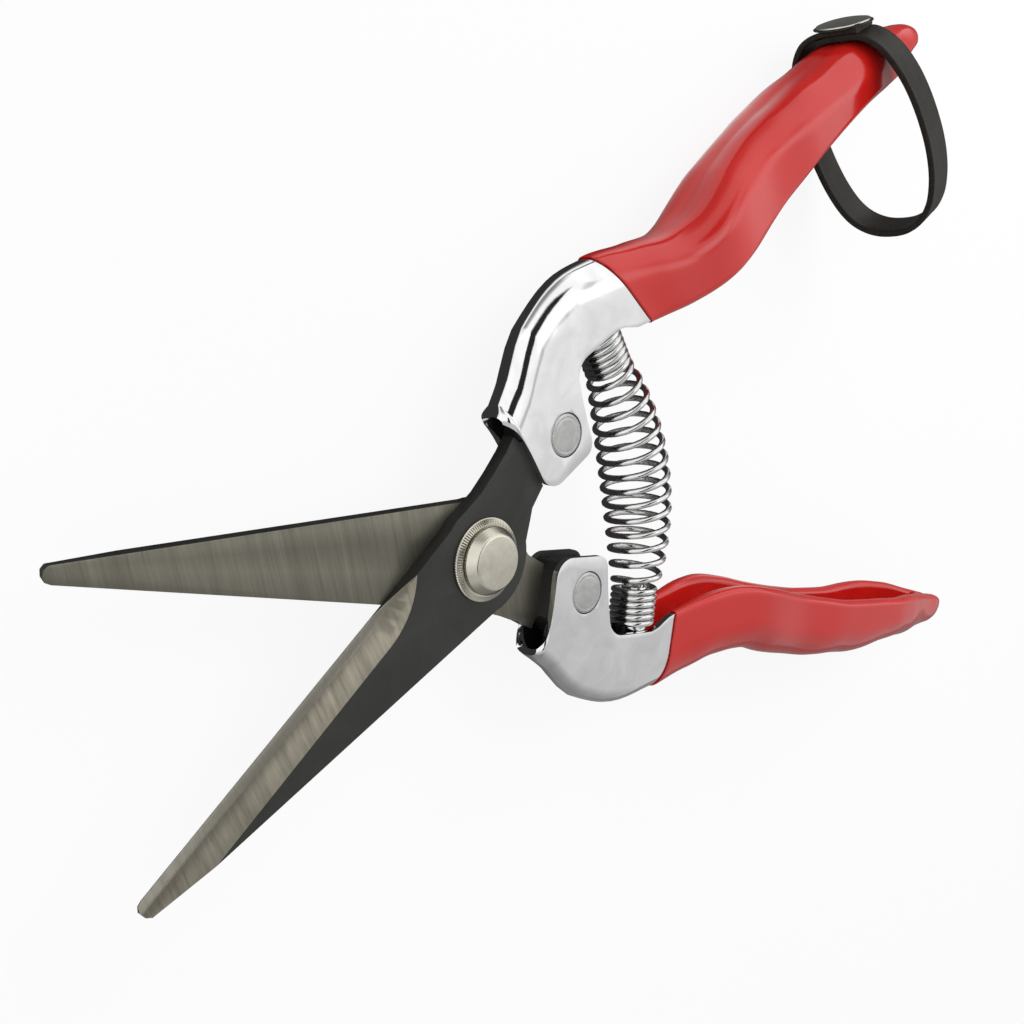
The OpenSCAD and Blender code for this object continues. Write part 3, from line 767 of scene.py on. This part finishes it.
def gripRings(shape):
    rings = []
    bare, start, tip = handle["bareEnd"], shape["start"], endX + shape["tip"]
    trimFrom = bare - grip["trimBefore"]

    def bowed(x, ring):
        # the coat's edge runs on down the walls, and the tip is trimmed and lifted
        back, edge = backAt(x, shape), edgeAt(x, shape)
        near = max(1 - (x - start) / grip["bowFades"], 0)
        trimmed = trimFrom + (x - trimFrom) * (tip - trimFrom) / (endX - trimFrom) if x > trimFrom else x
        out = []
        for z, y in ring:
            share = min(max((back - y) / (back - edge), 0), 1)
            step = near * shape["bow"] * share
            there = min(x + step, endX)
            y += (backAt(there, shape) - back) * (1 - share) + (edgeAt(there, shape) - edge) * share
            z *= halfWidthLine(there) / halfWidthLine(x) if step > 0.01 else 1
            out.append((trimmed + step, y + leaning(x, z, share, shape), z))
        return out

    def creased(points):
        return [(x, y - creaseAt(x, z) if y > backAt(x, shape) - 3 else y, z) for x, y, z in points]

    def thickAt(x):
        thin = grip["mouthThin"]
        return handle["coat"] * (thin + (1 - thin) * smooth((x - start) / grip["thickens"]))

    clear = grip["pocketClear"]
    for i in range(grip["pocketRows"] + 1):  # the pocket's lining, from the sheet's end to the mouth
        x = bare + 0.02 - (bare - start) * i / grip["pocketRows"]
        rings.append(bowed(x, coatRing(x, shape, clear, 0, 1)))
    for a in (20, 50, 90, 125, 155, 180):  # round the coat's edge
        t = math.radians(a)
        grow = clear + (thickAt(start) - clear) * (1 - math.cos(t)) / 2
        rings.append(bowed(start - grip["mouthRound"] * math.sin(t), coatRing(start, shape, grow, 0, 1)))
    first, rows = start + 3.4, grip["rows"]
    stations = [start + 0.5, start + 1.2, start + 2.2]
    stations += [first + (bare - first) * i / rows for i in range(rows + 1)]
    stations += [bare + 0.6 * i for i in range(1, 8)]
    for a in (44, 52, 60, 67, 73, 78.5, 83, 86.5, 89):
        stations.append(endX - grip["nose"] * (1 - math.sin(math.radians(a))))
    for x in sorted(set(round(x, 3) for x in stations)):
        fill = 0.97 * smooth((x - bare + 1) / 4.5)
        rings.append(creased(bowed(x, coatRing(x, shape, thickAt(x), fill, noseAt(x)))))
    return rings


for side, shape in (("upper", upperShape), ("lower", lowerShape)):
    coat = tubePiece(side + "Grip", gripRings(shape), manyFaces=True)
    toFrame(coat, places[side])
    shade(coat, 50)
    finished(coat, vinyl, side, "dipped_vinyl", side + "_grip")
print("grips dipped")


# tang rivets and spring posts

tangRivet = {"radius": 3.1, "height": 3.26}
post = {"x": 35.5, "foot": 14.4, "radius": 2.55, "shank": 1.2, "shankLong": 3.4, "long": 8.6}
outOfBack = Matrix.Rotation(math.radians(-90), 4, "X")  # turns a profile's height out of the back


def rivetProfile():
    r, h = tangRivet["radius"], tangRivet["height"]
    half = [(0, h), (r - 1.1, h - 0.01), (r - 0.72, h - 0.03), (r - 0.6, h - 0.07), (r - 0.5, h - 0.03),
            (r - 0.34, h - 0.04), (r - 0.14, h - 0.1), (r, h - 0.24)]
    return half + [(a, -b) for a, b in reversed(half)]


def postProfile():
    r, shank, foot, long = (post[k] for k in ("radius", "shank", "shankLong", "long"))
    return [
        (0, foot), (shank, foot), (shank, 0), (r - 0.12, 0), (r, -0.12), (r, 2.0 - long),
        (r - 0.1, 2.12 - long), (r - 0.5, 2.0 - long), (r - 0.5, 0.6 - long), (r - 0.62, 0.42 - long),
        (r - 0.95, 0.12 - long), (r - 1.1, -long), (0, -long),
    ]


sides = [(side, places[side]) for side in ("upper", "lower")]
for side, place in sides:
    hole = place @ Matrix.Translation((*handle["rivet"][:2], 0))
    rivet = turnedAt(hole, side + "TangRivet", rivetProfile(), degrees=45)
    finished(rivet, satin, side, "satin_steel", side + "_tang_rivet")
for side, place in sides:
    stand = Matrix.Translation((post["x"], post["foot"], 0)) @ outOfBack
    stub = turnedAt(place @ stand, side + "SpringPost", postProfile(), 64)
    finished(stub, drawnWire, side, "satin_steel", side + "_spring_post")
print("rivets and posts set")


# spring

coil = {
    "wire": 0.95,
    "endWide": 7.3,
    "midWide": 11.1,
    "barrel": 0.8,
    "closedTurns": 6,
    "openTurns": 14,
    "pitch": 1.0,
    "bowRadius": 54.1596,
    "bowX": -19.7347,
    "steps": 28,  # rings for each turn
    "sides": 12,
    "parts": 7,
}
allTurns = 2 * coil["closedTurns"] + coil["openTurns"]


def openShare(turn):
    return min(max((turn - coil["closedTurns"]) / coil["openTurns"], 0), 1)


def coilRing(turn):
    share = openShare(turn)
    a = math.radians(pivot["halfOpen"] * (1 - 2 * share))
    past = max(turn - coil["closedTurns"] - coil["openTurns"], 0)
    short = max(coil["closedTurns"] - turn, 0)
    step = (past - short) * coil["pitch"]
    cx = coil["bowX"] + coil["bowRadius"] * math.cos(a) + step * math.sin(a)
    cy = coil["bowRadius"] * math.sin(a) - step * math.cos(a)
    wide = coil["endWide"] + (coil["midWide"] - coil["endWide"]) * math.sin(math.pi * share) ** coil["barrel"]
    r = (wide - coil["wire"]) / 2
    phi = 2 * math.pi * turn
    ring = []
    for j in range(coil["sides"]):
        q = 2 * math.pi * j / coil["sides"]
        out = r + coil["wire"] / 2 * math.cos(q)
        up = coil["wire"] / 2 * math.sin(q)
        side = out * math.cos(phi)
        ring.append((
            cx + side * math.cos(a) + up * math.sin(a),
            cy + side * math.sin(a) - up * math.cos(a),
            out * math.sin(phi) + pivot["mateHeight"],
        ))
    return ring


def makeCoil(name, first, last):
    count = round((last - first) * coil["steps"])
    obj = tubePiece(name, [coilRing(first + (last - first) * i / count) for i in range(count + 1)])
    toFrame(obj, places["pivot"])
    shade(obj, 50)
    return obj


def makeSpring():
    # the closed ends ride on their own handles, and the open turns are blended between them
    endTurn = coil["closedTurns"]
    finished(makeCoil("springUpperEnd", 0, endTurn), drawnWire, "upper", "spring_steel", "spring")
    bottom = makeCoil("springLowerEnd", allTurns - endTurn, allTurns)
    finished(bottom, drawnWire, "lower", "spring_steel", "spring")
    parts = coil["parts"]
    for i in range(parts):
        a = endTurn + coil["openTurns"] * i / parts
        b = endTurn + coil["openTurns"] * (i + 1) / parts
        piece = makeCoil("springOpen" + str(i + 1), a, b)
        finished(piece, drawnWire, None, "spring_steel", "spring")
        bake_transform(piece)


makeSpring()
print("spring wound")


# pivot

bolt = {"radius": 3.0, "headFoot": 8.44, "headRadius": 4.8, "topRadius": 3.6, "headHigh": 1.8}
toothedRing = {
    "teeth": 96,
    "deep": 0.09,
    "inward": 0.35,  # how far a hollow also moves in, as a share of how far it sinks
    "radius": 5.85, "inner": 5.05, "bore": 3.02, "low": 7.64, "high": 8.44,
}
plainRing = {"radius": 5.85, "bore": 3.02, "low": 2.6, "high": 3.4}
nutRound = 0.00012


def boltProfile():
    s, f, r = bolt["radius"], bolt["headFoot"], bolt["headRadius"]
    t, h = bolt["topRadius"], bolt["headHigh"]
    return [
        (0, 0.0), (2.1, 0.0), (2.5, 0.06), (2.92, 0.4), (s, 0.5), (s, f), (r - 0.42, f), (r - 0.42, f + 0.1),
        (r - 0.08, f + 0.14), (r, f + 0.2), (r, f + 0.42), (r - 0.08, f + 0.56), (t + 0.42, f + h - 0.34),
        (t + 0.3, f + h - 0.16), (t + 0.1, f + h - 0.04), (t - 0.16, f + h), (0, f + h),
    ]


def makeToothedWasher():
    r, k, bore = toothedRing["radius"], toothedRing["inner"], toothedRing["bore"]
    low, high = toothedRing["low"], toothedRing["high"]
    washer = turnedPiece("toothedWasher", [
        (bore, low), (r - 0.06, low), (r, low + 0.06), (r, low + 0.36), (r - 0.07, low + 0.44),
        (r - 0.2, low + 0.5), (k, high), (k - 0.1, high), (bore, high), (bore, low),
    ], 4 * toothedRing["teeth"])
    for v in washer.data.vertices:  # every tooth is a ridge that runs down the sloping rim
        out = math.hypot(v.co.x, v.co.y)
        if out > k + 0.1 and v.co.z > low + 0.2:
            turn = math.atan2(v.co.y, v.co.x) / (2 * math.pi) * toothedRing["teeth"]
            sunk = toothedRing["deep"] * (0.5 + 0.5 * math.cos(2 * math.pi * turn))
            v.co.z -= sunk
            inward = 1 - toothedRing["inward"] * sunk / out
            v.co.x *= inward
            v.co.y *= inward
    toFrame(washer, places["pivot"])
    shade(washer, 25)
    return washer


def plainProfile():
    r, bore, low, high = (plainRing[k] for k in ("radius", "bore", "low", "high"))
    return [(bore, low), (r - 0.1, low), (r, low + 0.1), (r, high - 0.1), (r - 0.1, high), (bore, high),
            (bore, low)]


pivotBolt = turnedAt(places["pivot"], "pivotBolt", boltProfile(), 128)
finished(pivotBolt, nickel, "upper", "nickel_plate", "pivot_bolt")
finished(makeToothedWasher(), nickel, "upper", "nickel_plate", "toothed_washer")
backWasher = turnedAt(places["pivot"], "backWasher", plainProfile())
finished(backWasher, nickel, "upper", "nickel_plate", "back_washer")

nut = copyOfNode("pivotNut", "pivot_nut")
roundEdges(nut, nutRound, 2, 25)
shade(nut, 30)
finished(nut, nickel, "upper", "nickel_plate", "pivot_nut")
print("pivot closed")


# strap and its rivet

# Drawn about the rivet's seat on the grip: x along the handle, y out of it, z across it. The
# loop is one length of leather whose two ends lap under the cap, and it hangs turned a little.
strap = {
    "seat": (112.5, 20.2954),
    "lean": -12.1591,
    "turn": 11,
    "wide": 7.8,
    "thick": 1.05,
    "corner": 0.26,
    "sag": 1.3,  # how far its far side lies down on the grip, behind the cap
    "sagKnots": (27, 30, 32, 35),
    "wave": 0.25,  # how far its free length strays from flat
    "freeKnots": (6, 10, 26, 30),
    "steps": 7,
    "top": 2.2,
}
strapLine = [  # across and out, from the lower end round the loop to the upper one
    (-3.6, 0.25), (-2.0, 0.62), (0.0, 0.72), (2.2, 0.7), (4.0, 0.5), (5.5, -0.25), (6.9, -1.4), (8.2, -2.9),
    (9.5, -5.0), (10.8, -7.7), (12.0, -11.0), (13.0, -14.6), (13.65, -18.3), (13.8, -22.0), (13.5, -25.5),
    (12.7, -28.6), (11.0, -31.2), (8.3, -32.8), (5.1, -33.2), (2.3, -32.8), (-0.2, -31.5), (-2.2, -29.4),
    (-4.0, -26.3), (-5.5, -22.8), (-6.7, -19.0), (-7.4, -15.4), (-7.9, -11.6), (-8.2, -8.0), (-8.25, -5.0),
    (-7.95, -2.9), (-7.3, -1.2), (-6.3, 0.2), (-4.9, 1.1), (-3.1, 1.6), (-1.0, 1.74), (1.0, 1.74),
    (2.4, 1.72), (3.6, 1.7),
]


def strapPlace(turned):
    x, y = strap["seat"]
    seat = Matrix.Translation((x, y, 0)) @ Matrix.Rotation(math.radians(strap["lean"]), 4, "Z")
    return places["upper"] @ seat @ Matrix.Rotation(math.radians(turned), 4, "Y")


def alongStrap(t):
    # a point of the loop, at t knots from its first one, on a line that runs through every knot
    last = len(strapLine) - 1
    i = min(int(t), last - 1)
    f = t - i
    a, b, c, d = (Vector(strapLine[min(max(k, 0), last)]) for k in (i - 1, i, i + 1, i + 2))
    bend, twist = 2 * a - 5 * b + 4 * c - d, 3 * b - a - 3 * c + d
    return 0.5 * (2 * b + (c - a) * f + bend * f * f + twist * f ** 3)


def between(t, knots):
    # rises from 0 to 1 over the first two knots, and falls back over the last two
    a, b, c, d = knots
    return smooth((t - a) / (b - a)) * smooth((d - t) / (d - c))


def strapSection():
    half, thick, r = strap["wide"] / 2, strap["thick"] / 2, strap["corner"]
    points = []
    for side, first in ((1, -90), (1, 0), (-1, 90), (-1, 180)):
        tall = -1 if first in (-90, 180) else 1
        points += arcPoints(side * (half - r), tall * (thick - r), r, first, first + 90, 4)
        if first in (0, 180):
            across = side * (half - r)
            points += [(across * (1 - k / 4), tall * thick) for k in range(1, 8)]
    return points


def makeStrap():
    section = strapSection()
    count = len(section)
    lastKnot = len(strapLine) - 1

    def onStrap(u, v):
        t = v * lastKnot
        here = alongStrap(t)
        ahead = (alongStrap(min(t + 0.02, lastKnot)) - alongStrap(max(t - 0.02, 0))).normalized()
        w, out = section[round(u * count) % count]
        out += strap["wave"] * between(t, strap["freeKnots"]) * noise.noise((w * 0.06, t * 0.3, 3.1))
        out -= strap["sag"] * (w / strap["wide"] + 0.5) * between(t, strap["sagKnots"])
        # to the left of the way it runs is the outside of the loop
        return (w, here.y + ahead.x * out, here.x - ahead.y * out)

    obj = gridPiece("wristStrap", count, lastKnot * strap["steps"], onStrap)
    closeEnds(obj)
    obj.data.materials.append(leather)
    obj.data.materials.append(leatherEdge)
    cutAt = strap["wide"] / 2 - 0.7 * strap["corner"]
    for face in obj.data.polygons:
        cut = abs(face.center.x) > cutAt or len(face.vertices) > 4
        face.material_index = 1 if cut else 0
    toFrame(obj, strapPlace(strap["turn"]))
    shade(obj, 60)
    return obj


wristStrap = finished(makeStrap(), None, "strap_loop", "strap_leather", "strap")
strapSeat = strapPlace(0)
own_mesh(wristStrap)


# Turned about the strap's rivet, heights running out of the handle. The rivet's foot is peened
# over the burr, and its other end stands inside the cap.
rivetPlace = strapSeat @ outOfBack
seat = strap["top"]
shank = {"radius": 1.6, "gap": 0.02, "inCap": 0.3}
burr = {"top": -3.683, "thick": 0.7, "radius": 2.8}
cap = {"radius": 4.6, "high": 0.8, "rim": 0.3}
darkRing = {"thick": 0.2, "radius": 5.0}
capFoot = seat + darkRing["thick"]
burrFoot = burr["top"] - burr["thick"]


def capProfile():
    # a shallow dome with a rolled rim
    r, f, rim = cap["radius"], capFoot, cap["rim"]
    domed = [(r * i / 10, f + rim + (cap["high"] - rim) * (1 - (i / 10) ** 2.4)) for i in range(10)]
    return domed + [
        (r - 0.12, f + rim + 0.03), (r - 0.03, f + 0.22), (r, f + 0.12), (r - 0.05, f + 0.02), (r - 0.15, f),
        (0, f),
    ]


def washerProfile():
    r, hole = darkRing["radius"], shank["radius"] + shank["gap"]
    return [(hole, seat), (r - 0.05, seat), (r, seat + 0.05), (r, capFoot - 0.05), (r - 0.05, capFoot),
            (hole, capFoot), (hole, seat)]


def burrProfile():
    r, hole, top, foot = burr["radius"], shank["radius"] + shank["gap"], burr["top"], burrFoot
    return [(hole, foot + 0.05), (shank["radius"] + 0.1, foot), (r - 0.08, foot), (r, foot + 0.08),
            (r, top - 0.08), (r - 0.08, top), (hole, top), (hole, foot + 0.05)]


def shankProfile():
    r, foot, top = shank["radius"], burrFoot, capFoot + shank["inCap"]
    return [(0, foot - 0.4), (0.9, foot - 0.38), (1.4, foot - 0.25), (r, foot - 0.05), (r, top), (0, top)]


for name, profile, steps, finish, slotName, node in (
    ("strapCap", capProfile(), 128, capMetal, "nickel_plate", "strap_rivet_cap"),
    ("strapWasher", washerProfile(), 96, washerBlack, "black_washer", "strap_washer"),
    ("strapBurr", burrProfile(), 96, satin, "satin_steel", "strap_rivet_burr"),
    ("strapRivet", shankProfile(), 64, satin, "satin_steel", "strap_rivet"),
):
    finished(turnedAt(rivetPlace, name, profile, steps), finish, "upper", slotName, node)
print("strap riveted on")


# floor, lamps and camera

# Pale, and white to the camera. Metal sees it dim under the object, a painted shadow that only reflections
# show, and dim in front of it and at its far end, each by a level and the distances over which that fades.
floorLook = {
    "size": 3,
    "place": (0.03, 0, -0.0046),
    # painted shadow under the object, seen only by glossy rays
    "under": {"level": 0.035, "span": (0.058, 0.088)},
    "front": {"level": 0.25, "span": (-0.05, -0.015)},
    "end": {"level": 0.12, "span": (0.078, 0.1)},
    "toCamera": 0.9,
}


def makeFloor():
    clearSelection()
    bpy.ops.mesh.primitive_grid_add(
        x_subdivisions=8, y_subdivisions=8, size=floorLook["size"], location=floorLook["place"],
    )
    floor = named("floor")
    bpy.ops.object.transform_apply(location=True, rotation=True, scale=True)
    finish, tree, shader = newFinish("paleFloor")
    where = place3d(tree)
    tint = rampOf(tree, grainOf(tree, where, 12, 3), (0.3, (0.8, 0.8, 0.8)), (0.7, (0.84, 0.84, 0.84)))
    tree.links.new(tint, shader.inputs["Base Color"])
    shader.inputs["Roughness"].default_value = 0.6
    away = tree.nodes.new("ShaderNodeVectorMath")
    away.operation = "LENGTH"
    tree.links.new(where, away.inputs[0])
    parts = tree.nodes.new("ShaderNodeSeparateXYZ")
    tree.links.new(where, parts.inputs["Vector"])
    under, front, end = (floorLook[k] for k in ("under", "front", "end"))
    # a dim disc round the object's middle, for glossy rays only: painted shadow
    paintedShadowUnder = easedOf(tree, away.outputs["Value"], under["level"], 1, under["span"])
    before = easedOf(tree, parts.outputs["X"], 1, end["level"], end["span"])
    behind = easedOf(tree, parts.outputs["Y"], 0, 1, front["span"])
    seen = mixOf(tree, behind, front["level"], mathOf(tree, "MULTIPLY", paintedShadowUnder, before))
    ray = tree.nodes.new("ShaderNodeLightPath")
    glossy, camera = ray.outputs["Is Glossy Ray"], ray.outputs["Is Camera Ray"]
    white = tree.nodes.new("ShaderNodeEmission")
    white.inputs["Color"].default_value = (1, 1, 1, 1)
    tree.links.new(mixOf(tree, glossy, 1, seen), white.inputs["Strength"])
    mix = tree.nodes.new("ShaderNodeMixShader")
    tree.links.new(mathOf(tree, "MULTIPLY_ADD", camera, floorLook["toCamera"], glossy), mix.inputs["Fac"])
    tree.links.new(shader.outputs["BSDF"], mix.inputs[1])
    tree.links.new(white.outputs["Emission"], mix.inputs[2])
    tree.links.new(mix.outputs["Shader"], tree.nodes["Material Output"].inputs["Surface"])
    floor.data.materials.append(finish)


makeFloor()

# What metal sees overhead is a white tent, dimmer towards the front, with a long lamp and two dark
# flags in it. Across is the direction that a strip is square to.
studio = {
    "fill": 0.5,
    "tent": [(-1.0, 0.26), (-0.93, 0.34), (-0.8, 0.58), (-0.42, 0.6), (-0.28, 0.86), (-0.1, 0.95),
             (0.1, 1.15), (0.86, 1.15), (0.95, 0.34), (1.0, 0.26)],
    "blackFlag": {"across": (0.748, -0.587, 0.310), "half": 0.16, "soft": 0.06, "level": 0.02},
    "greyFlag": {"across": (-0.788, 0.475, 0.393), "half": 0.02, "soft": 0.08, "level": 0.6},
    "lamp": {"across": (0.206, 0.928, -0.309), "half": 0.04, "soft": 0.14, "level": 1.3},
    "lampStarts": (0.24, 0.36),
    "lampFades": (0.5, 0.7),
    "lampLeft": 0.35,
    "flagsEnd": (0.68, 0.78),
    "rightDims": (0.89, 0.965),
    "rightLeft": 0.3,
}

world = bpy.data.worlds.new("studio")
bpy.context.scene.world = world
world.use_nodes = True
sky = world.node_tree


def times(a, b):
    return mathOf(sky, "MULTIPLY", a, b)


def stripe(way, strip, inside, outside):
    across = sky.nodes.new("ShaderNodeVectorMath")
    across.operation = "DOT_PRODUCT"
    across.inputs[1].default_value = strip["across"]
    sky.links.new(way, across.inputs[0])
    off = mathOf(sky, "ABSOLUTE", across.outputs["Value"])
    return easedOf(sky, off, inside, outside, (strip["half"], strip["half"] + strip["soft"]))


def makeStudio():
    ground = sky.nodes["Background"]
    ground.inputs["Color"].default_value = (1, 1, 1, 1)
    where = sky.nodes.new("ShaderNodeTexCoord")
    way = where.outputs["Generated"]
    parts = sky.nodes.new("ShaderNodeSeparateXYZ")
    sky.links.new(way, parts.inputs["Vector"])
    x, y, z = parts.outputs
    top = max(level for _, level in studio["tent"])
    stops = [((at + 1) / 2, (level / top,) * 3) for at, level in studio["tent"]]
    light = times(rampOf(sky, mathOf(sky, "ADD", times(y, 0.5), 0.5), *stops), top)
    lamp = stripe(way, studio["lamp"], studio["lamp"]["level"], 0)
    lamp = times(lamp, easedOf(sky, x, 0, 1, studio["lampStarts"]))
    lamp = times(lamp, easedOf(sky, x, 1, studio["lampLeft"], studio["lampFades"]))
    light = mathOf(sky, "ADD", light, lamp)
    light = times(light, easedOf(sky, x, 1, studio["rightLeft"], studio["rightDims"]))
    above = easedOf(sky, z, 1, 0, studio["flagsEnd"])
    for flag in (studio["blackFlag"], studio["greyFlag"]):
        light = times(light, mathOf(sky, "MAXIMUM", stripe(way, flag, flag["level"], 1), above))
    ray = sky.nodes.new("ShaderNodeLightPath")
    glossy = ray.outputs["Is Glossy Ray"]
    seen = mathOf(sky, "MAXIMUM", ray.outputs["Is Camera Ray"], ray.outputs["Is Transmission Ray"])
    plain = mathOf(sky, "SUBTRACT", 1, mathOf(sky, "MAXIMUM", seen, glossy))
    shown = mathOf(sky, "ADD", times(light, glossy), seen)
    sky.links.new(mathOf(sky, "ADD", shown, times(plain, studio["fill"])), ground.inputs["Strength"])


makeStudio()


def makeLamp(name, place, aim, wide, high, power):
    clearSelection()
    bpy.ops.object.light_add(type="AREA", location=place)
    lamp = bpy.context.object
    lamp.name = name
    lamp.data.shape = "RECTANGLE"
    lamp.data.size = wide
    lamp.data.size_y = high
    lamp.data.energy = power
    lamp.visible_glossy = False  # metal sees the tent instead
    lamp.rotation_euler = (Vector(aim) - Vector(place)).to_track_quat("-Z", "Y").to_euler()


makeLamp("topBox", (0.33, 0.22, 0.28), (0.06, 0, 0), 0.4, 0.3, 1.6)
makeLamp("sideBox", (-0.36, 0.1, 0.36), (0.03, 0, 0), 0.3, 0.3, 0.6)

view = {
    "lens": 48.207,
    "place": (-0.1135, 0.0709, 0.1375),
    "right": (0.6921, -0.1385, 0.7084),
    "up": (0.3442, 0.9260, -0.1552),
    "back": (-0.6345, 0.3512, 0.6886),
}
clearSelection()
bpy.ops.object.camera_add()
camera = bpy.context.object
camera.name = "camera"
camera.data.lens = view["lens"]
camera.data.sensor_width = 36
camera.data.clip_start = 0.005
camera.data.clip_end = 10
turned = Matrix((view["right"], view["up"], view["back"])).transposed()
camera.matrix_world = Matrix.Translation(view["place"]) @ turned.to_4x4()
bpy.context.scene.camera = camera
bpy.context.scene.view_settings.view_transform = "Standard"
print("camera set")
